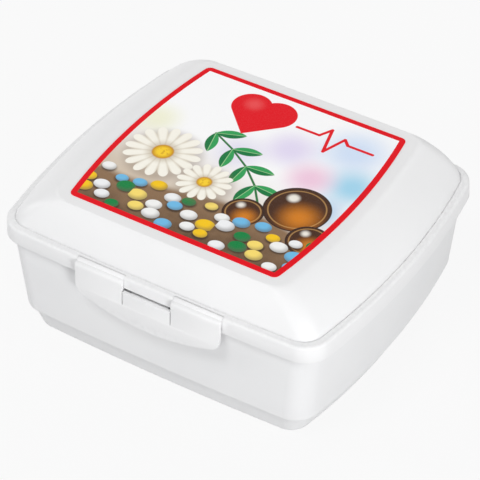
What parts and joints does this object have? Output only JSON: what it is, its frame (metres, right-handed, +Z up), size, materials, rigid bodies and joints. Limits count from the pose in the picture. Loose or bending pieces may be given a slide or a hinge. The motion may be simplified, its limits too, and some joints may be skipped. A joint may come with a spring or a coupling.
{
  "type": "medicine storage box",
  "caption": "White plastic medicine box with a domed, printed lid on a rear hinge, a front snap latch, a lift-out divided tray and removable dividers.",
  "frame": {"origin": "centre of the closed box's bounding box on the table", "axes": "+Z up, -Y towards the front latch, +X to the right seen from the front"},
  "size_m": [0.1662, 0.149, 0.0722],
  "materials": {
    "tub_plastic": "satin white polypropylene",
    "lid_plastic": "semi-gloss white polypropylene",
    "latch_plastic": "semi-gloss white polypropylene",
    "label_film": "printed film with a red border",
    "tray_plastic": "satin off-white polypropylene",
    "divider_plastic": "satin pale blue polypropylene",
    "pin_steel": "drawn steel wire"
  },
  "bodies": {
    "tub_body": {"tub": "tub_plastic", "base_divider_long": "divider_plastic", "base_divider_cross": "divider_plastic", "hinge_pin_left": "pin_steel", "hinge_pin_right": "pin_steel"},
    "lid_body": {"lid": "lid_plastic", "lid_label": "label_film", "latch_pin": "pin_steel"},
    "latch_body": {"front_latch": "latch_plastic"},
    "tray_body": {"tray": "tray_plastic", "tray_divider_long": "divider_plastic", "tray_divider_left": "divider_plastic", "tray_divider_right": "divider_plastic"}
  },
  "joints": [
    {"name": "lid_hinge", "type": "hinge", "parent": "tub_body", "child": "lid_body", "pos_m": [0, 0.07193, 0.04935], "axis": [-1, 0, 0], "range_deg": [0, 115]},
    {"name": "latch_hinge", "type": "hinge", "parent": "lid_body", "child": "latch_body", "pos_m": [0, -0.07018, 0.05495], "axis": [-1, 0, 0], "range_deg": [0, 110]},
    {"name": "tray_lift", "type": "slide", "parent": "tub_body", "child": "tray_body", "axis": [0, 0, 1], "range_m": [0, 0.004]}
  ]
}
